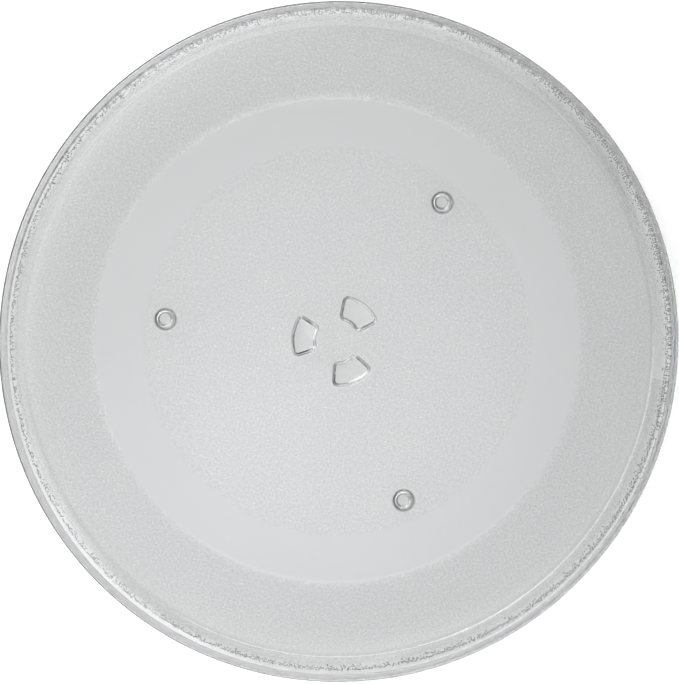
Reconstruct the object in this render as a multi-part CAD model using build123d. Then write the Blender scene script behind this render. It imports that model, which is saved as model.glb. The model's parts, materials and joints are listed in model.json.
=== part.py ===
from build123d import *
from math import radians, sin, tan
import os

# Turntable plate of a microwave oven, pressed from clear glass as one piece.
# Millimetres and degrees, +Z up, origin on the plate's axis at the level of the foot tips.

# Dish: a flat base with a sloping rim that ends in a bevelled lip
plate_diameter = 358.8
base_thickness = 5.0
rim_thickness = 3.2
rim_rise = 9.0
rim_slope = 47.0
heel_radius = 3.0
lip_edge_height = 3.3
lip_outer_bevel = 1.0
lip_inner_bevel = 0.5
lip_lower_bevel = 0.6

# Smooth roller track, pressed into the underside
track_radius = 116.1
track_width = 25.4
track_depth = 0.5
track_edge_run = 1.2

# Drive lugs round the middle: ring sectors, sized at their tips
lug_count = 3
first_lug_angle = 60.0
lug_inner_radius = 13.1
lug_outer_radius = 22.2
lug_spread = 47.0
lug_height = 6.0
lug_draft = 12.0
lug_corner_radius = 1.0
lug_tip_bevel = 0.8
lug_root_radius = 1.5

# Feet: one in line with each lug, just inside the roller track
foot_height = 7.0
foot_tip_radius = 3.5
foot_draft = 6.0
foot_tip_bevel = 1.2
foot_root_radius = 3.5
foot_track_gap = 3.0

# Levels and radii that follow from the sizes above
underside_level = foot_height
food_level = underside_level + base_thickness
lip_level = food_level + rim_rise
plate_radius = plate_diameter / 2
lip_width = rim_thickness / sin(radians(rim_slope))
track_inner_radius = track_radius - track_width / 2
track_outer_radius = track_radius + track_width / 2
foot_stem_radius = foot_tip_radius + foot_height * tan(radians(foot_draft))
foot_reach = foot_stem_radius + foot_root_radius
foot_circle_radius = track_inner_radius - track_edge_run - foot_track_gap - foot_reach


def down_the_slope(start, level):
    """Point where the rim's slope, followed down from start, meets a level."""
    return start[0] - (start[1] - level) / tan(radians(rim_slope)), level


def rounded(section, corner, radius):
    """The section with the corner that lies nearest a point rounded."""
    return fillet(section.vertices().sort_by_distance((*corner, 0))[0], radius)


def bevelled(section, corner, length):
    """The section with the corner that lies nearest a point cut off."""
    return chamfer(section.vertices().sort_by_distance((*corner, 0))[0], length)


def dish_section():
    """Half section of the dish, drawn as radius and height."""
    lip_outside = (plate_radius, lip_level)
    lip_underside = (plate_radius, lip_level - lip_edge_height)
    lip_inside = (plate_radius - lip_width, lip_level)
    outer_heel = down_the_slope(lip_underside, underside_level)
    inner_heel = down_the_slope(lip_inside, food_level)
    track = [
        (track_inner_radius - track_edge_run, underside_level),
        (track_inner_radius, underside_level + track_depth),
        (track_outer_radius, underside_level + track_depth),
        (track_outer_radius + track_edge_run, underside_level),
    ]
    rim = [outer_heel, lip_underside, lip_outside, lip_inside, inner_heel]
    section = make_face(Polyline((0, food_level), (0, underside_level), *track, *rim, close=True))
    section = rounded(section, outer_heel, heel_radius + rim_thickness)
    section = rounded(section, inner_heel, heel_radius)
    section = bevelled(section, lip_outside, lip_outer_bevel)
    section = bevelled(section, lip_inside, lip_inner_bevel)
    return bevelled(section, lip_underside, lip_lower_bevel)


def drive_lug():
    """One lug on the +X axis, drawn at its tip and widening by its draft up to its root."""
    start = -lug_spread / 2
    outer = CenterArc((0, 0), lug_outer_radius, start, lug_spread)
    inner = CenterArc((0, 0), lug_inner_radius, start, lug_spread)
    tip = make_face([outer, inner, Line(outer @ 0, inner @ 0), Line(outer @ 1, inner @ 1)])
    tip = fillet(tip.vertices(), lug_corner_radius)
    lug = extrude(tip, lug_height, taper=-lug_draft)
    lug = chamfer(lug.faces().sort_by(Axis.Z)[0].edges(), lug_tip_bevel)
    return Pos(0, 0, underside_level - lug_height) * lug


def foot():
    """One foot on the +X axis: a drafted stud that stands on its flat tip."""
    upright = (Align.CENTER, Align.CENTER, Align.MIN)
    stud = Cone(foot_tip_radius, foot_stem_radius, foot_height, align=upright)
    stud = chamfer(stud.faces().sort_by(Axis.Z)[0].edges(), foot_tip_bevel)
    return Pos(foot_circle_radius, 0, 0) * stud


def root_outlines(plate):
    """Outlines on the underside where the lugs and feet stand, from the axis outwards."""
    middle = (0, 0, underside_level)
    underside = plate.faces().sort_by_distance(middle)[0]
    return underside.inner_wires().sort_by_distance(middle)


def with_soft_roots(plate, outlines, radius):
    """The plate with the edges of some root outlines filled in to a radius."""
    return plate.fillet(radius, [edge for outline in outlines for edge in outline.edges()])


def glass_plate():
    """The whole plate: the dish, then its lugs and feet with soft roots."""
    plate = revolve(Plane.XZ * dish_section(), Axis.Z)
    for step in range(lug_count):
        turn = Rot(0, 0, first_lug_angle + step * 360 / lug_count)
        plate += turn * drive_lug()
        plate += turn * foot()
    plate = with_soft_roots(plate, root_outlines(plate)[:lug_count], lug_root_radius)
    return with_soft_roots(plate, root_outlines(plate)[lug_count:], foot_root_radius)


os.makedirs("parts", exist_ok=True)
export_step(glass_plate(), "parts/glass_plate.step")
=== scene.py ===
import json
from math import asin, ceil, copysign, cos, pi, radians, sin, sqrt, tan

import bmesh
import bpy
from mathutils import Matrix, Vector


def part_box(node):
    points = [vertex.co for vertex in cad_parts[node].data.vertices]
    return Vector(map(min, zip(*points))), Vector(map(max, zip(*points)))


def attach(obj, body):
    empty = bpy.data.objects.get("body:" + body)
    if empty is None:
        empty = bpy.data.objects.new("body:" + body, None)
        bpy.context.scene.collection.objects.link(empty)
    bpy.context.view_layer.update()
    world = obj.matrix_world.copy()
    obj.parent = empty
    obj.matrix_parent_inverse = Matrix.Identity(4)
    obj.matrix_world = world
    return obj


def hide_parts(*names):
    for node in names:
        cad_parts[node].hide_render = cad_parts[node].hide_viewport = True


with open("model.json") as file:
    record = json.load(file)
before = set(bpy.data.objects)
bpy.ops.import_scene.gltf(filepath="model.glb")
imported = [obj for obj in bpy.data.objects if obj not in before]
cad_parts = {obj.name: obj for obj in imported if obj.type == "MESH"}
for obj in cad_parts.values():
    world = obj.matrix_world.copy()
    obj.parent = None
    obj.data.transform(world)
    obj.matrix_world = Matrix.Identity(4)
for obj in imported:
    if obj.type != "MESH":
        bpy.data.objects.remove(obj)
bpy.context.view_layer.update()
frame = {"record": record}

bl_info = {
    "name": "Microwave Turntable Plate",
    "version": (1, 0, 0),
    "blender": (4, 5, 0),
    "location": "View3D > Sidebar > Turntable",
    "description": "Presses a glass turntable plate from its sizes and sets it on a studio stage",
    "category": "Object",
}

MM = 0.001
PLATE_NODE = "glass_plate"

# Vertex layers that the glass reads: where it is stippled, and how steep the lugs and feet are, which
# sets the painted shade on their walls
STIPPLE_LAYER = "stipple"
LUG_LAYER = "lug_wall"
FOOT_LAYER = "foot_wall"

# Vertices this near to each other are one, and levels this near are the same
WELD_DISTANCE = 0.001 * MM
LEVEL_TOLERANCE = 0.01 * MM

# A straight run is a long edge between two short ones
EDGES_IN_RUN = 3

# How much finer the steps of a long arc are than those of a corner
ARC_FINENESS = 3

# Range that most values of a noise texture lie in, and how many finer layers the stipple has
NOISE_LOW = 0.3
NOISE_HIGH = 0.7
GRAIN_DETAIL = 2.0

GLASS_IOR = 1.5
WHITE = (1.0, 1.0, 1.0, 1.0)
HIGHEST_BRIGHTNESS = 10.0
FLOOR_SEGMENTS = 96

# The softboxes, each with these values among the stage's properties
SOFTBOXES = ("key", "fill", "side", "low")
SOFTBOX_VALUES = ("azimuth", "tilt", "width", "height", "power")


def mount_place(name):
    """Where the record puts one of the plate's mounts, in metres."""
    for mount in frame["record"]["mounts"]:
        if mount["name"] == name:
            return Vector(mount["pos_m"])
    raise ValueError(f"the record has no mount named {name}")


def length_property(name, description, default):
    """A length that the user can change, in metres."""
    return bpy.props.FloatProperty(
        name=name, description=description, default=default, min=0.0, precision=5, unit="LENGTH"
    )


def angle_property(name, description, degrees):
    """An angle that the user can change, kept in radians."""
    return bpy.props.FloatProperty(
        name=name, description=description, default=radians(degrees), unit="ROTATION"
    )


def factor_property(name, description, default, highest=1.0):
    """A plain factor that the user can change."""
    return bpy.props.FloatProperty(
        name=name, description=description, default=default, min=0.0, max=highest
    )


def power_property(name, description, default):
    """The power of a lamp, in watts."""
    return bpy.props.FloatProperty(
        name=name, description=description, default=default, min=0.0, unit="POWER"
    )


def colour_property(name, description, default):
    """A colour that the user can change."""
    return bpy.props.FloatVectorProperty(
        name=name, description=description, default=default, size=3, min=0.0, max=1.0, subtype="COLOR"
    )


PLATE_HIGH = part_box(PLATE_NODE)[1]


class TurntablePlateSizes(bpy.types.PropertyGroup):
    """Sizes of the pressed glass plate."""

    plate_radius: length_property("Plate Radius", "Radius at the outside of the lip", PLATE_HIGH.x)
    lip_level: length_property("Lip Level", "Height of the lip's flat top", PLATE_HIGH.z)
    food_level: length_property(
        "Food Level", "Height of the flat that food stands on", mount_place("food_face").z
    )
    underside_level: length_property(
        "Underside", "Height of the base's underside", mount_place("drive_lugs").z
    )
    rim_thickness: length_property("Rim Thickness", "Thickness of the sloping rim", 3.2 * MM)
    rim_slope: angle_property("Rim Slope", "Slope of the rim above the base", 47.0)
    heel_radius: length_property("Heel Radius", "Inside radius between base and rim", 3.0 * MM)
    lip_edge_height: length_property("Lip Edge", "Height of the lip's upright outer edge", 3.45 * MM)
    lip_outer_rounding: length_property(
        "Lip Outer Rounding", "Radius of the lip's outer corner", 1.2 * MM
    )
    lip_inner_rounding: length_property(
        "Lip Inner Rounding", "Radius of the lip's inner corner", 1.5 * MM
    )
    lip_lower_rounding: length_property(
        "Lip Lower Rounding", "Radius under the lip's outer edge", 4.5 * MM
    )

    track_radius: length_property(
        "Track Radius", "Middle of the roller track", mount_place("roller_track").x
    )
    track_level: length_property(
        "Track Level", "Height of the roller track", mount_place("roller_track").z
    )
    track_width: length_property("Track Width", "Width of the roller track", 25.4 * MM)
    track_edge_slope: angle_property("Track Edge Slope", "Steepest slope at the edges of the track", 10.0)

    lug_inner_radius: length_property(
        "Lug Inside", "Inner radius of the drive lugs at their tips", 12.5 * MM
    )
    lug_outer_radius: length_property(
        "Lug Outside", "Outer radius of the drive lugs at their tips", 22.8 * MM
    )
    lug_spread: angle_property("Lug Spread", "Angle that a drive lug takes up at its tip", 51.0)
    lug_height: length_property("Lug Height", "How far the drive lugs stand down", 6.0 * MM)
    lug_draft: angle_property("Lug Draft", "Draft of the lugs' walls", 9.0)
    lug_corner_radius: length_property(
        "Lug Corners", "Corner radius of a lug's outline at its tip", 1.5 * MM
    )
    lug_root_radius: length_property("Lug Roots", "Radius between a lug and the base", 1.5 * MM)
    lug_tip_rounding: length_property("Lug Tips", "Radius round a lug's tip", 1.3 * MM)

    foot_circle_radius: length_property(
        "Foot Circle", "Radius that the feet stand on", -mount_place("foot_tip").x
    )
    foot_tip_radius: length_property("Foot Tip", "Radius of a foot at its tip", 3.5 * MM)
    foot_draft: angle_property("Foot Draft", "Draft of a foot's wall", 6.0)
    foot_root_radius: length_property("Foot Roots", "Radius between a foot and the base", 3.5 * MM)
    foot_tip_rounding: length_property("Foot Tip Rounding", "Radius round a foot's tip", 1.4 * MM)

    first_angle: angle_property("First Angle", "Angle of the first lug and foot from +X", 60.0)
    copies: bpy.props.IntProperty(
        name="Copies", description="Number of lugs and of feet", default=3, min=1
    )
    sectors: bpy.props.IntProperty(
        name="Sectors", description="Equal sectors that the dish is spun from", default=12, min=3
    )
    sector_steps: bpy.props.IntProperty(
        name="Sector Steps", description="Steps that one sector is spun through", default=40, min=2
    )
    bend_step: angle_property("Bend Step", "Largest turn of one step along a rounded corner", 7.5)
    hold_width: length_property("Hold Width", "Strip that keeps a flat true beside a bend", 0.25 * MM)
    landing_width: length_property(
        "Landing", "Strip between the track's inner edge and the flat", 0.5 * MM
    )


class TurntableGlassLook(bpy.types.PropertyGroup):
    """Finish of the glass."""

    tint: colour_property(
        "Tint", "Colour of the light that the glass lets through", (0.7, 0.7063, 0.7076)
    )
    polish: factor_property("Polish Roughness", "Roughness of the polished glass", 0.02)
    stipple_roughness: factor_property("Stipple Roughness", "Roughness of the stippled underside", 0.1)
    grain: length_property("Stipple Grain", "Width of one grain of the stipple", 1.0 * MM)
    stipple_depth: length_property("Stipple Depth", "Depth of the stipple", 0.06 * MM)
    stipple_shade: factor_property(
        "Stipple Shade", "Share of the light that the stipple keeps back", 0.05
    )
    stipple_contrast: factor_property("Stipple Contrast", "Difference between the stipple's grains", 0.15)
    # Painted shade: the stipple outside the track is darkened, towards the rim.
    outer_painted_shade: factor_property(
        "Outer Shade", "Share of the light that the stipple outside the track keeps back", 0.13
    )
    outer_start: length_property("Outer Start", "Radius from which the stipple grows darker", 127.5 * MM)
    outer_fade: length_property("Outer Fade", "Width over which the stipple grows darker", 5.0 * MM)
    # Painted shade: the sloping rim's glass is darkened.
    rim_painted_shade: factor_property("Rim Shade", "Share of the light that the sloping rim keeps back", 0.15)
    rim_start: length_property("Rim Start", "Radius at which the sloping rim starts", 164.0 * MM)
    rim_end: length_property("Rim End", "Radius at which the sloping rim's shade ends", 177.6 * MM)
    rim_fade: length_property("Rim Fade", "Width over which the rim's shade starts", 3.0 * MM)
    rim_end_fade: length_property("Rim End Fade", "Width over which the rim's shade ends", 0.75 * MM)
    ragged_radius: length_property(
        "Ragged Edge", "Radius at which the stipple ends on the rim", 175.3 * MM
    )
    ragged_width: length_property("Ragged Width", "Width over which the stipple breaks up", 2.6 * MM)
    ragged_shift: length_property("Ragged Shift", "How far the stipple's end lies off centre", 0.85 * MM)
    ragged_azimuth: angle_property("Ragged Azimuth", "Side that the stipple's end is shifted to", 52.0)
    ragged_grain: length_property("Ragged Grain", "Width of one crumb of the ragged end", 0.8 * MM)
    ragged_fill: factor_property("Ragged Fill", "Radius of a crumb as a share of its cell", 0.55)
    ragged_core: factor_property("Ragged Core", "Radius of a crumb's dark middle, as such a share", 0.275)
    ragged_depth: length_property("Ragged Depth", "Depth of the ragged end of the stipple", 0.04 * MM)
    ragged_shade: factor_property(
        "Ragged Shade", "Share of the light that the ragged end keeps back", 0.9
    )
    # Painted shade: the steep walls of the lugs and feet are darkened, the steeper the darker.
    lug_painted_shade: factor_property("Lug Shade", "Share of the light that the lugs' walls keep back", 0.2)
    lug_steepness: factor_property("Lug Steepness", "Steepness at which a lug's shade is full", 1.0)
    foot_painted_shade: factor_property("Foot Shade", "Share of the light that the feet's walls keep back", 0.6)
    foot_steepness: factor_property("Foot Steepness", "Steepness at which a foot's shade is full", 0.15)


class TurntableStageLook(bpy.types.PropertyGroup):
    """Floor, light and camera."""

    floor_colour: colour_property("Floor", "Colour of the floor", (1.0, 1.0, 1.0))
    floor_radius: length_property("Floor Radius", "Radius of the round floor", 6.0)
    floor_gap: length_property("Floor Gap", "Gap that keeps the foot tips off the floor", 0.15 * MM)
    floor_glow: factor_property("Floor Glow", "Share of the floor that shows as plain white", 0.45)
    zenith: factor_property(
        "Top Light", "Brightness of the light from the bright side", 0.65, HIGHEST_BRIGHTNESS
    )
    horizon: factor_property(
        "Low Light", "Brightness of the light from the dark side", 0.15, HIGHEST_BRIGHTNESS
    )
    light_azimuth: angle_property("Light Azimuth", "Side that the brightest light comes from", 207.0)
    light_tilt: angle_property("Light Tilt", "How far the brightest light is from overhead", 40.0)
    light_spread: angle_property(
        "Light Spread", "How far the light reaches from where it is brightest", 90.0
    )
    dark_band: angle_property("Dark Band", "Height above the horizon over which the light rises", 15.0)
    key_azimuth: angle_property("Key Azimuth", "Side that the key softbox hangs on", 95.0)
    key_tilt: angle_property("Key Tilt", "How far the key softbox hangs from overhead", 36.0)
    key_width: length_property("Key Width", "Width of the key softbox", 0.5)
    key_height: length_property("Key Height", "Height of the key softbox", 0.2)
    key_power: power_property("Key Power", "Power of the key softbox", 1.5)
    fill_azimuth: angle_property("Fill Azimuth", "Side that the fill softbox hangs on", 280.0)
    fill_tilt: angle_property("Fill Tilt", "How far the fill softbox hangs from overhead", 55.0)
    fill_width: length_property("Fill Width", "Width of the fill softbox", 1.0)
    fill_height: length_property("Fill Height", "Height of the fill softbox", 0.7)
    fill_power: power_property("Fill Power", "Power of the fill softbox", 4.0)
    side_azimuth: angle_property("Side Azimuth", "Side that the side softbox hangs on", 150.0)
    side_tilt: angle_property("Side Tilt", "How far the side softbox hangs from overhead", 55.0)
    side_width: length_property("Side Width", "Width of the side softbox", 0.7)
    side_height: length_property("Side Height", "Height of the side softbox", 0.5)
    side_power: power_property("Side Power", "Power of the side softbox", 3.7)
    low_azimuth: angle_property("Low Azimuth", "Side that the low softbox hangs on", 212.0)
    low_tilt: angle_property("Low Tilt", "How far the low softbox hangs from overhead", 80.0)
    low_width: length_property("Low Width", "Width of the low softbox", 0.6)
    low_height: length_property("Low Height", "Height of the low softbox", 0.15)
    low_power: power_property("Low Power", "Power of the low softbox", 0.4)
    pool_azimuth: angle_property("Pool Azimuth", "Side that the pool lamp hangs on", 200.0)
    pool_tilt: angle_property("Pool Tilt", "How far the pool lamp hangs from overhead", 35.0)
    pool_size: length_property("Pool Size", "Width and height of the pool lamp", 0.1)
    pool_spread: angle_property("Pool Spread", "Angle that the pool lamp's light spreads over", 30.0)
    pool_power: power_property("Pool Power", "Power of the pool lamp", 0.4)
    pool_side_azimuth: angle_property(
        "Pool Side", "Side of the plate that the pool of light falls on", 275.0
    )
    pool_reach: length_property("Pool Reach", "Distance from the axis to the pool of light", 0.06)
    softbox_distance: length_property(
        "Softbox Distance", "Distance from the plate to the softboxes", 0.55
    )
    camera_distance: length_property("Camera Distance", "Distance from the camera to the plate", 8.0)
    camera_azimuth: angle_property("Camera Azimuth", "Side that the camera leans to", 157.4)
    camera_tilt: angle_property("Camera Tilt", "How far the camera leans from overhead", 5.8)
    camera_roll: angle_property("Camera Roll", "Turn of the picture about the plate's axis", 7.4)
    view_height: length_property("View Height", "Height of what the camera takes in at the lip", 0.3598)


class Pen:
    """Draws a wire of straight runs and bends, each bend spun about its own centre."""

    def __init__(self, shape, start, heading, normal, sizes):
        self.shape = shape
        self.tip = bmesh.ops.create_vert(shape, co=start)["vert"][0]
        self.heading = Vector(heading).normalized()
        self.normal = Vector(normal)
        self.sizes = sizes

    def step(self, length):
        """Draws one straight edge."""
        self.tip = bmesh.ops.extrude_vert_indiv(self.shape, verts=[self.tip])["verts"][0]
        bmesh.ops.translate(self.shape, verts=[self.tip], vec=self.heading * length)

    def run(self, length):
        """Draws a straight run with a short edge at each end, which smooth shading leaves straight."""
        hold = min(self.sizes.hold_width, length / EDGES_IN_RUN)
        for part in (hold, length - 2 * hold, hold):
            self.step(part)

    def bend(self, radius, angle, largest_step=None):
        """Draws a rounded corner, to the left for a positive angle."""
        left = self.normal.cross(self.heading)
        centre = self.tip.co + left * copysign(radius, angle)
        steps = ceil(abs(angle) / (largest_step or self.sizes.bend_step))
        spun = bmesh.ops.spin(
            self.shape, geom=[self.tip], cent=centre, axis=self.normal, angle=angle, steps=steps
        )
        self.tip = [part for part in spun["geom_last"] if isinstance(part, bmesh.types.BMVert)][0]
        self.heading.rotate(Matrix.Rotation(angle, 3, self.normal))


def corner_run(radius, angle):
    """How much of a straight run a rounded corner takes up."""
    return radius * tan(abs(angle) / 2)


def draw_track_edge(pen, sizes, upward):
    """Draws one edge of the roller track: a soft step, up into the track or down out of it."""
    depth = sizes.track_level - sizes.underside_level
    radius = depth / (2 * (1 - cos(sizes.track_edge_slope)))
    turn = copysign(sizes.track_edge_slope, upward)
    pen.bend(radius, turn)
    pen.bend(radius, -turn)


def track_edge_run(sizes):
    """How far one edge of the roller track reaches across."""
    depth = sizes.track_level - sizes.underside_level
    return depth * sin(sizes.track_edge_slope) / (1 - cos(sizes.track_edge_slope))


def flat_radius(sizes):
    """Radius of the flat underside, just inside the roller track's inner edge."""
    track_inside = sizes.track_radius - sizes.track_width / 2
    return track_inside - track_edge_run(sizes) / 2 - sizes.landing_width


def draw_dish_section(shape, sizes):
    """Draws half the dish's section, from the axis over the lip to the flat inside the roller track."""
    slope = sizes.rim_slope
    lip_width = sizes.rim_thickness / sin(slope)
    outer_heel_radius = sizes.heel_radius + sizes.rim_thickness

    inner_slope = (sizes.lip_level - sizes.food_level) / sin(slope)
    inner_heel = sizes.plate_radius - lip_width - inner_slope * cos(slope)
    lip_underside = sizes.lip_level - sizes.lip_edge_height
    outer_slope = (lip_underside - sizes.underside_level) / sin(slope)
    outer_heel = sizes.plate_radius - outer_slope * cos(slope)

    heel_run = corner_run(sizes.heel_radius, slope)
    lip_inside_run = corner_run(sizes.lip_inner_rounding, slope)
    lip_outside_run = corner_run(sizes.lip_outer_rounding, pi / 2)
    lip_lower_run = corner_run(sizes.lip_lower_rounding, pi / 2 - slope)
    outer_heel_run = corner_run(outer_heel_radius, slope)

    pen = Pen(shape, (0, 0, sizes.food_level), (1, 0, 0), (0, -1, 0), sizes)
    pen.run(inner_heel - heel_run)
    pen.bend(sizes.heel_radius, slope)
    pen.run(inner_slope - heel_run - lip_inside_run)
    pen.bend(sizes.lip_inner_rounding, -slope)
    pen.run(lip_width - lip_inside_run - lip_outside_run)
    pen.bend(sizes.lip_outer_rounding, -pi / 2)
    pen.run(sizes.lip_edge_height - lip_outside_run - lip_lower_run)
    pen.bend(sizes.lip_lower_rounding, slope - pi / 2)
    pen.run(outer_slope - lip_lower_run - outer_heel_run)
    pen.bend(outer_heel_radius, -slope)

    edge_run = track_edge_run(sizes)
    track_outside = sizes.track_radius + sizes.track_width / 2
    pen.run(outer_heel - outer_heel_run - track_outside - edge_run / 2)
    draw_track_edge(pen, sizes, -1)
    pen.run(sizes.track_width - edge_run)
    draw_track_edge(pen, sizes, 1)
    pen.run(sizes.landing_width)


def spin_dish(shape, sizes):
    """Spins the dish's section through one sector, then copies the sector all the way round."""
    before = set(shape.verts[:] + shape.edges[:] + shape.faces[:])
    draw_dish_section(shape, sizes)
    sector = 2 * pi / sizes.sectors
    about_axis = {"cent": (0, 0, 0), "axis": (0, 0, 1)}
    section = [part for part in shape.verts[:] + shape.edges[:] if part not in before]
    bmesh.ops.spin(shape, geom=section, angle=sector, steps=sizes.sector_steps, **about_axis)
    parts = shape.verts[:] + shape.edges[:] + shape.faces[:]
    slice_of_dish = [part for part in parts if part not in before]
    bmesh.ops.spin(
        shape, geom=slice_of_dish, angle=2 * pi - sector, steps=sizes.sectors - 1, use_duplicate=True,
        **about_axis,
    )


def stud_steps(height, draft, root_radius, tip_rounding, sizes):
    """Inset and depth of each ring of a stud: a soft root, a drafted wall, a rounded tip."""
    wall_turn = pi / 2 - draft
    count = ceil(wall_turn / sizes.bend_step)
    angles = [wall_turn * step / count for step in range(count + 1)]
    steps = [(sizes.hold_width, 0.0)]
    for low, high in zip(angles, angles[1:]):
        steps.append((root_radius * (sin(high) - sin(low)), root_radius * (cos(low) - cos(high))))
    wall_height = height - (root_radius + tip_rounding) * (1 - cos(wall_turn))
    hold = sizes.hold_width
    for part in (hold, wall_height - 2 * hold, hold):
        steps.append((part * tan(draft), part))
    for high, low in zip(angles[::-1], angles[-2::-1]):
        steps.append((tip_rounding * (sin(high) - sin(low)), tip_rounding * (cos(low) - cos(high))))
    return steps + [(sizes.hold_width, 0.0)]


def stud_reach(steps, draft, tip_rounding):
    """How far a stud's root stands out from where its wall would meet its tip."""
    return sum(inset for inset, depth in steps[:-1]) - corner_run(tip_rounding, pi / 2 - draft)


def draw_lug_outline(shape, sizes, reach):
    """Draws a drive lug's outline at its root, on the +X axis, and gives its edges."""
    before = set(shape.edges)
    corner = sizes.lug_corner_radius
    half = sizes.lug_spread / 2
    outer_centre = sizes.lug_outer_radius - corner
    inner_centre = sizes.lug_inner_radius + corner
    outer_half = half - asin(corner / outer_centre)
    inner_half = half - asin(corner / inner_centre)
    side = sqrt(outer_centre ** 2 - corner ** 2) - sqrt(inner_centre ** 2 - corner ** 2)

    outer_radius = sizes.lug_outer_radius + reach
    start = (outer_radius * cos(outer_half), -outer_radius * sin(outer_half), sizes.underside_level)
    heading = (sin(outer_half), cos(outer_half), 0)
    pen = Pen(shape, start, heading, (0, 0, 1), sizes)
    arc_step = sizes.bend_step / ARC_FINENESS
    pen.bend(outer_radius, 2 * outer_half, arc_step)
    pen.bend(corner + reach, pi / 2 + half - outer_half)
    pen.step(side)
    pen.bend(corner + reach, pi / 2 - half + inner_half)
    pen.bend(sizes.lug_inner_radius - reach, -2 * inner_half, arc_step)
    pen.bend(corner + reach, pi / 2 - half + inner_half)
    pen.step(side)
    pen.bend(corner + reach, pi / 2 + half - outer_half)
    return [edge for edge in shape.edges if edge not in before]


def draw_foot_outline(shape, sizes, reach):
    """Draws a foot's outline at its root, on the +X axis, and gives its edges."""
    before = set(shape.edges)
    radius = sizes.foot_tip_radius + reach
    start = (sizes.foot_circle_radius + radius, 0, sizes.underside_level)
    pen = Pen(shape, start, (0, 1, 0), (0, 0, 1), sizes)
    pen.bend(radius, 2 * pi)
    return [edge for edge in shape.edges if edge not in before]


def close_outline(shape, edges):
    """Joins the ends of an outline and gives the edges of the closed loop."""
    verts = list({vert for edge in edges for vert in edge.verts})
    bmesh.ops.remove_doubles(shape, verts=verts, dist=WELD_DISTANCE)
    return list({edge for vert in verts if vert.is_valid for edge in vert.link_edges})


def turned_outlines(shape, sizes, draw, reach):
    """Draws an outline once for each copy and turns it to its place about the plate's axis."""
    outlines = []
    for copy in range(sizes.copies):
        edges = close_outline(shape, draw(shape, sizes, reach))
        verts = list({vert for edge in edges for vert in edge.verts})
        angle = sizes.first_angle + copy * 2 * pi / sizes.copies
        bmesh.ops.rotate(shape, verts=verts, cent=(0, 0, 0), matrix=Matrix.Rotation(angle, 3, "Z"))
        outlines.append(edges)
    return outlines


def grow_stud(shape, outline, steps):
    """Fills a root outline and grows it downwards, ring by ring."""
    face = bmesh.ops.contextual_create(shape, geom=outline)["faces"][0]
    if face.normal.z > 0:
        face.normal_flip()
    for inset, depth in steps:
        bmesh.ops.inset_region(
            shape, faces=[face], thickness=inset, depth=depth, use_boundary=True, use_even_offset=True
        )


def press_underside(shape, sizes):
    """The flat inside the track, with the drive lugs and the feet standing down from it."""
    bmesh.ops.create_circle(
        shape, segments=sizes.sectors * sizes.sector_steps, radius=flat_radius(sizes),
        matrix=Matrix.Translation((0, 0, sizes.underside_level)),
    )
    lug_steps = stud_steps(
        sizes.lug_height, sizes.lug_draft, sizes.lug_root_radius, sizes.lug_tip_rounding, sizes
    )
    foot_steps = stud_steps(
        sizes.underside_level, sizes.foot_draft, sizes.foot_root_radius, sizes.foot_tip_rounding, sizes
    )
    lug_reach = stud_reach(lug_steps, sizes.lug_draft, sizes.lug_tip_rounding)
    foot_reach = stud_reach(foot_steps, sizes.foot_draft, sizes.foot_tip_rounding)
    lugs = turned_outlines(shape, sizes, draw_lug_outline, lug_reach)
    feet = turned_outlines(shape, sizes, draw_foot_outline, foot_reach)
    bmesh.ops.triangle_fill(shape, edges=shape.edges[:], use_beauty=True, normal=(0, 0, -1))
    for outline in lugs:
        grow_stud(shape, outline, lug_steps)
    for outline in feet:
        grow_stud(shape, outline, foot_steps)


def mark_stipple(shape, sizes):
    """Marks the vertices whose glass is stippled: what faces down, outside the track, lugs and feet."""
    layer = shape.verts.layers.float.new(STIPPLE_LAYER)
    lowest = sizes.underside_level - LEVEL_TOLERANCE
    least_facing = cos(sizes.rim_slope) / 2
    half_track = sizes.track_width / 2
    for vert in shape.verts:
        faces_down = -vert.normal.z > least_facing
        on_track = abs(vert.co.xy.length - sizes.track_radius) < half_track
        vert[layer] = 1.0 if faces_down and vert.co.z > lowest and not on_track else 0.0


def mark_walls(shape, sizes):
    """Marks how steep the lugs and feet are at each of their vertices, which sets where shade is painted
    on their walls.
    """
    layers = shape.verts.layers.float
    layers.new(LUG_LAYER)
    layers.new(FOOT_LAYER)
    between = (sizes.lug_outer_radius + sizes.foot_circle_radius) / 2
    for vert in shape.verts:
        if vert.co.z < sizes.underside_level - LEVEL_TOLERANCE:
            name = LUG_LAYER if vert.co.xy.length < between else FOOT_LAYER
            vert[layers[name]] = 1.0 - abs(vert.normal.z)


def check_closed(shape):
    """Raises an error if the plate isn't one closed skin."""
    open_edges = [edge for edge in shape.edges if not edge.is_manifold]
    if open_edges:
        raise RuntimeError(f"the plate's skin has {len(open_edges)} open edges")


def press_plate(sizes):
    """The plate as one closed mesh."""
    shape = bmesh.new()
    press_underside(shape, sizes)
    spin_dish(shape, sizes)
    bmesh.ops.remove_doubles(shape, verts=shape.verts[:], dist=WELD_DISTANCE)
    bmesh.ops.recalc_face_normals(shape, faces=shape.faces[:])
    check_closed(shape)
    shape.normal_update()
    mark_stipple(shape, sizes)
    mark_walls(shape, sizes)
    for face in shape.faces:
        face.smooth = True
    mesh = bpy.data.meshes.new("pressed_glass_plate")
    shape.to_mesh(mesh)
    shape.free()
    return mesh


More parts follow.
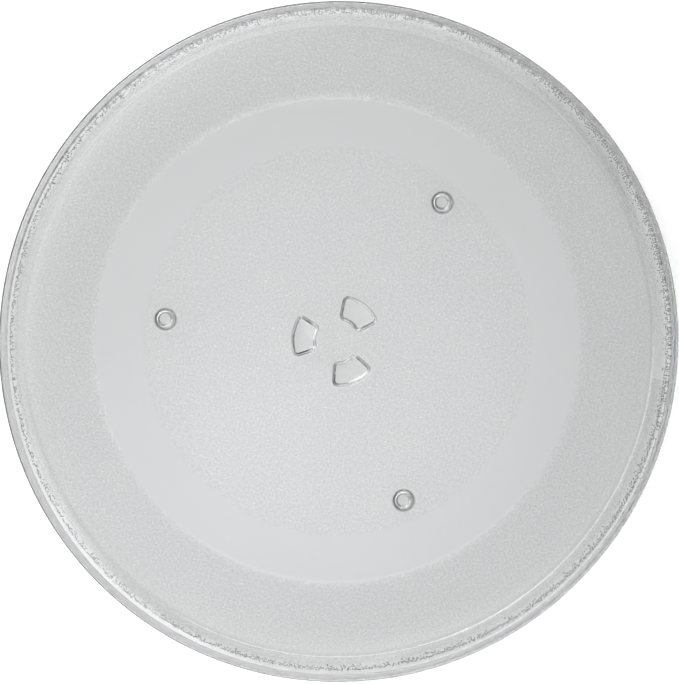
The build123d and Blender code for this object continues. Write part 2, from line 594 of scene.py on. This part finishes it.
class NodeSheet:
    """Short ways to add and join the nodes of a shader."""

    def __init__(self, tree):
        self.tree = tree

    def add(self, kind, inputs=None, **settings):
        """Adds a node, sets its options and feeds its inputs with values or other nodes' outputs."""
        node = self.tree.nodes.new(kind)
        for name, value in settings.items():
            setattr(node, name, value)
        for socket, value in (inputs or {}).items():
            self.feed(node.inputs[socket], value)
        return node

    def feed(self, socket, value):
        """Joins an output to a socket, or sets the socket's own value."""
        if isinstance(value, bpy.types.NodeSocket):
            self.tree.links.new(value, socket)
        else:
            socket.default_value = value

    def math(self, operation, *values):
        """Adds a Math node and gives its output."""
        inputs = dict(enumerate(values))
        return self.add("ShaderNodeMath", inputs, operation=operation).outputs[0]

    def ramp(self, value, low, high, first=0.0, last=1.0):
        """Maps a value smoothly from one range to another."""
        inputs = {"Value": value, "From Min": low, "From Max": high, "To Min": first, "To Max": last}
        return self.add("ShaderNodeMapRange", inputs, interpolation_type="SMOOTHSTEP").outputs["Result"]


def grain_field(sheet, place, size):
    """Noise of one grain size, from about -1 to 1."""
    noise = sheet.add("ShaderNodeTexNoise", {"Vector": place, "Scale": 1 / size, "Detail": GRAIN_DETAIL})
    inputs = {
        "Value": noise.outputs["Fac"],
        "From Min": NOISE_LOW,
        "From Max": NOISE_HIGH,
        "To Min": -1.0,
        "To Max": 1.0,
    }
    return sheet.add("ShaderNodeMapRange", inputs, clamp=False).outputs["Result"]


def distance_from_axis(sheet, place):
    """How far a place is from the plate's axis, and the place with its height left out."""
    flat = sheet.add("ShaderNodeVectorMath", {0: place, 1: (1, 1, 0)}, operation="MULTIPLY").outputs[0]
    return sheet.add("ShaderNodeVectorMath", {0: flat}, operation="LENGTH").outputs["Value"], flat


def ragged_field(sheet, place, look):
    """Crumbs where the stipple ends on the rim, from 0 to 1: dense at the end, fewer further in."""
    flat = distance_from_axis(sheet, place)[1]
    cells = sheet.add(
        "ShaderNodeTexVoronoi", {"Vector": flat, "Scale": 1 / look.ragged_grain}, voronoi_dimensions="2D"
    )
    middle = distance_from_axis(sheet, cells.outputs["Position"])[0]
    chance = sheet.add("ShaderNodeSeparateColor", {"Color": cells.outputs["Color"]}).outputs["Red"]
    thinnest = look.ragged_radius - look.ragged_width
    inputs = {"Value": middle, "From Min": thinnest, "From Max": look.ragged_radius}
    share = sheet.add("ShaderNodeMapRange", inputs).outputs["Result"]
    share = sheet.math("MULTIPLY", share, share)
    present = sheet.math("GREATER_THAN", share, chance)
    within = sheet.math("LESS_THAN", middle, look.ragged_radius + look.ragged_grain)
    crumb = sheet.ramp(cells.outputs["Distance"], look.ragged_fill, look.ragged_core)
    return sheet.math("MULTIPLY", crumb, sheet.math("MULTIPLY", present, within))


def darken_by_mask(sheet, light, mask, share, full=1.0):
    """The colour's brightness, darkened by a share where a mask, from 0 to its full value, is set: for
    the stipple's ragged end and for painted shade.
    """
    return sheet.math("MULTIPLY", light, sheet.ramp(mask, 0.0, full, 1.0, 1.0 - share))


def glass_tone_with_painted_shade(sheet, look, radius, marked, mask, grain, ragged):
    """Brightness of the glass's colour: darker where it is stippled and at its ragged end, with painted
    shade outside the track, on the sloping rim and on the steep walls of the lugs and feet.
    """
    # The stipple's own darkening, which grows outside the track into painted shade.
    outer_end = look.outer_start + look.outer_fade
    shade = sheet.ramp(radius, look.outer_start, outer_end, look.stipple_shade, look.outer_painted_shade)
    light = sheet.math("SUBTRACT", 1.0, sheet.math("MULTIPLY", mask, shade))
    light = sheet.math("MULTIPLY_ADD", grain, look.stipple_contrast, light)
    light = darken_by_mask(sheet, light, ragged, look.ragged_shade)

    # Painted shade on the sloping rim.
    rim = sheet.ramp(radius, look.rim_start, look.rim_start + look.rim_fade)
    rim_end = sheet.ramp(radius, look.rim_end, look.rim_end - look.rim_end_fade)
    rim = sheet.math("MULTIPLY", sheet.math("MULTIPLY", rim, rim_end), marked)
    light = darken_by_mask(sheet, light, rim, look.rim_painted_shade)

    # Painted shade on the steep walls of the lugs and feet.
    lug = sheet.add("ShaderNodeAttribute", attribute_name=LUG_LAYER).outputs["Fac"]
    light = darken_by_mask(sheet, light, lug, look.lug_painted_shade, look.lug_steepness)
    foot = sheet.add("ShaderNodeAttribute", attribute_name=FOOT_LAYER).outputs["Fac"]
    return darken_by_mask(sheet, light, foot, look.foot_painted_shade, look.foot_steepness)


def glass_material(look):
    """Clear pressed glass: polished, with a stippled underside, and painted shade on its outer stipple,
    sloping rim, lugs and feet.
    """
    material = bpy.data.materials.new("clear_glass")
    material.use_nodes = True
    material.node_tree.nodes.clear()
    sheet = NodeSheet(material.node_tree)
    place = sheet.add("ShaderNodeTexCoord").outputs["Object"]
    marked = sheet.add("ShaderNodeAttribute", attribute_name=STIPPLE_LAYER).outputs["Fac"]
    shift = -look.ragged_shift * Vector((cos(look.ragged_azimuth), sin(look.ragged_azimuth), 0))
    shifted = sheet.add("ShaderNodeVectorMath", {0: place, 1: shift}, operation="ADD").outputs[0]
    radius = distance_from_axis(sheet, shifted)[0]
    inside = sheet.ramp(radius, look.ragged_radius, look.ragged_radius - look.ragged_width)
    mask = sheet.math("MULTIPLY", marked, inside)
    grain = sheet.math("MULTIPLY", grain_field(sheet, place, look.grain), mask)
    ragged = sheet.math("MULTIPLY", ragged_field(sheet, shifted, look), marked)

    height = sheet.math("MULTIPLY", grain, look.stipple_depth)
    height = sheet.math("MULTIPLY_ADD", ragged, look.ragged_depth, height)
    bump = sheet.add("ShaderNodeBump", {"Height": height, "Strength": 1.0, "Distance": 1.0})
    roughness = sheet.ramp(mask, 0.0, 1.0, look.polish, look.stipple_roughness)
    light = glass_tone_with_painted_shade(sheet, look, radius, marked, mask, grain, ragged)
    colour = sheet.add("ShaderNodeVectorMath", {0: look.tint, "Scale": light}, operation="SCALE")
    glass = sheet.add(
        "ShaderNodeBsdfPrincipled",
        {
            "Base Color": colour.outputs[0],
            "Roughness": roughness,
            "IOR": GLASS_IOR,
            "Transmission Weight": 1.0,
            "Normal": bump.outputs["Normal"],
        },
    )
    sheet.add("ShaderNodeOutputMaterial", {"Surface": glass.outputs["BSDF"]})
    return material


class TURNTABLE_OT_press_plate(bpy.types.Operator):
    """Presses the glass plate and gives it its finish"""

    bl_idname = "turntable.press_plate"
    bl_label = "Press Plate"

    def execute(self, context):
        scene = context.scene
        mesh = press_plate(scene.turntable_sizes)
        mesh.materials.append(glass_material(scene.turntable_glass))
        plate = bpy.data.objects.new("pressed_glass_plate", mesh)
        scene.collection.objects.link(plate)
        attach(plate, "root")
        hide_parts(PLATE_NODE)
        return {"FINISHED"}


def floor_material(look):
    """Plain white floor that keeps the plate's shadow."""
    material = bpy.data.materials.new("studio_floor")
    material.use_nodes = True
    material.node_tree.nodes.clear()
    sheet = NodeSheet(material.node_tree)
    paper = sheet.add("ShaderNodeBsdfDiffuse", {"Color": (*look.floor_colour, 1.0)})
    glow = sheet.add("ShaderNodeEmission", {"Color": (*look.floor_colour, 1.0), "Strength": 1.0})
    path = sheet.add("ShaderNodeLightPath")
    seen = sheet.math("MAXIMUM", path.outputs["Is Camera Ray"], path.outputs["Is Glossy Ray"])
    seen = sheet.math("MAXIMUM", seen, path.outputs["Is Transmission Ray"])
    share = sheet.math("MULTIPLY", seen, look.floor_glow)
    mixed = sheet.add("ShaderNodeMixShader", {0: share, 1: paper.outputs[0], 2: glow.outputs[0]})
    sheet.add("ShaderNodeOutputMaterial", {"Surface": mixed.outputs[0]})
    return material


def lay_floor(scene, look):
    """A round floor under the feet."""
    shape = bmesh.new()
    bmesh.ops.create_circle(
        shape, cap_ends=True, segments=FLOOR_SEGMENTS, radius=look.floor_radius,
        matrix=Matrix.Translation((0, 0, -look.floor_gap)),
    )
    mesh = bpy.data.meshes.new("studio_floor")
    shape.to_mesh(mesh)
    shape.free()
    mesh.materials.append(floor_material(look))
    floor = bpy.data.objects.new("studio_floor", mesh)
    scene.collection.objects.link(floor)


def leaning(azimuth, tilt):
    """Direction that leans from straight up towards an azimuth."""
    return Vector((sin(tilt) * cos(azimuth), sin(tilt) * sin(azimuth), cos(tilt)))


def light_room(scene, look):
    """A soft dome of light, brightest to one side of overhead, that the camera itself sees as white."""
    world = bpy.data.worlds.new("studio_light")
    scene.world = world
    world.use_nodes = True
    world.node_tree.nodes.clear()
    sheet = NodeSheet(world.node_tree)
    direction = sheet.add("ShaderNodeTexCoord").outputs["Generated"]
    bright = leaning(look.light_azimuth, look.light_tilt)
    towards = sheet.add("ShaderNodeVectorMath", {0: direction, 1: bright}, operation="DOT_PRODUCT")
    level = sheet.ramp(towards.outputs["Value"], cos(look.light_spread), 1.0, look.horizon, look.zenith)
    height = sheet.add("ShaderNodeSeparateXYZ", {"Vector": direction}).outputs["Z"]
    level = sheet.math("MULTIPLY", level, sheet.ramp(height, 0.0, sin(look.dark_band)))
    path = sheet.add("ShaderNodeLightPath")
    level = sheet.math("MAXIMUM", level, path.outputs["Is Camera Ray"])
    background = sheet.add("ShaderNodeBackground", {"Color": WHITE, "Strength": level})
    sheet.add("ShaderNodeOutputWorld", {"Surface": background.outputs[0]})


def aimed(direction, distance, target):
    """Place of a lamp that stands off from a target and faces it."""
    turn = direction.to_track_quat("Z", "Y").to_matrix().to_4x4()
    return Matrix.Translation(target + direction * distance) @ turn


def hang_softbox(scene, look, name, direction, width, height, power):
    """Hangs one softbox that faces the plate, and gives it."""
    lamp = bpy.data.lights.new(name, "AREA")
    lamp.shape = "RECTANGLE"
    lamp.size = width
    lamp.size_y = height
    lamp.energy = power
    softbox = bpy.data.objects.new(name, lamp)
    scene.collection.objects.link(softbox)
    softbox.matrix_world = aimed(direction, look.softbox_distance, Vector((0, 0, 0)))
    return softbox


def hang_softboxes(scene, look):
    """Hangs the softboxes round the plate, and a lamp that throws a pool of light on it."""
    for name in SOFTBOXES:
        azimuth, tilt, width, height, power = (getattr(look, f"{name}_{part}") for part in SOFTBOX_VALUES)
        hang_softbox(scene, look, f"{name}_softbox", leaning(azimuth, tilt), width, height, power)

    above = leaning(look.pool_azimuth, look.pool_tilt)
    pool = hang_softbox(scene, look, "pool_lamp", above, look.pool_size, look.pool_size, look.pool_power)
    pool.data.spread = look.pool_spread
    pool.visible_glossy = False
    middle = look.pool_reach * leaning(look.pool_side_azimuth, pi / 2)
    pool.matrix_world = aimed(above, look.softbox_distance, middle)


def place_camera(scene, look, sizes):
    """A camera that looks down on the plate as the photograph does."""
    lens = bpy.data.cameras.new("camera")
    camera = bpy.data.objects.new("camera", lens)
    scene.collection.objects.link(camera)
    back = leaning(look.camera_azimuth, look.camera_tilt)
    upward = Vector((-sin(look.camera_roll), cos(look.camera_roll), 0))
    right = upward.cross(back).normalized()
    upward = back.cross(right)
    target = Vector((0, 0, sizes.lip_level))
    turn = Matrix((right, upward, back)).transposed().to_4x4()
    camera.matrix_world = Matrix.Translation(target + back * look.camera_distance) @ turn
    lens.sensor_fit = "VERTICAL"
    lens.lens = lens.sensor_height * look.camera_distance / look.view_height
    scene.camera = camera


class TURNTABLE_OT_set_stage(bpy.types.Operator):
    """Lays the floor, lights the room and places the camera"""

    bl_idname = "turntable.set_stage"
    bl_label = "Set Stage"

    def execute(self, context):
        scene = context.scene
        look = scene.turntable_stage
        scene.view_settings.view_transform = "Standard"
        lay_floor(scene, look)
        light_room(scene, look)
        hang_softboxes(scene, look)
        place_camera(scene, look, scene.turntable_sizes)
        return {"FINISHED"}


class TURNTABLE_PT_panel(bpy.types.Panel):
    """Lists the plate's operators and sizes"""

    bl_idname = "TURNTABLE_PT_panel"
    bl_label = "Turntable Plate"
    bl_space_type = "VIEW_3D"
    bl_region_type = "UI"
    bl_category = "Turntable"

    def draw(self, context):
        layout = self.layout
        scene = context.scene
        layout.operator(TURNTABLE_OT_press_plate.bl_idname)
        layout.operator(TURNTABLE_OT_set_stage.bl_idname)
        for group in (scene.turntable_sizes, scene.turntable_glass, scene.turntable_stage):
            box = layout.box()
            for name in group.__annotations__:
                box.prop(group, name)


CLASSES = (
    TurntablePlateSizes,
    TurntableGlassLook,
    TurntableStageLook,
    TURNTABLE_OT_press_plate,
    TURNTABLE_OT_set_stage,
    TURNTABLE_PT_panel,
)


def register():
    """Registers the classes and hangs the settings on the scene."""
    for cls in CLASSES:
        bpy.utils.register_class(cls)
    bpy.types.Scene.turntable_sizes = bpy.props.PointerProperty(type=TurntablePlateSizes)
    bpy.types.Scene.turntable_glass = bpy.props.PointerProperty(type=TurntableGlassLook)
    bpy.types.Scene.turntable_stage = bpy.props.PointerProperty(type=TurntableStageLook)


def unregister():
    """Takes the settings and the classes away again."""
    del bpy.types.Scene.turntable_stage
    del bpy.types.Scene.turntable_glass
    del bpy.types.Scene.turntable_sizes
    for cls in reversed(CLASSES):
        bpy.utils.unregister_class(cls)


def main():
    """Builds the plate and its stage."""
    register()
    bpy.ops.turntable.press_plate()
    bpy.ops.turntable.set_stage()


if __name__ == "__main__":
    main()
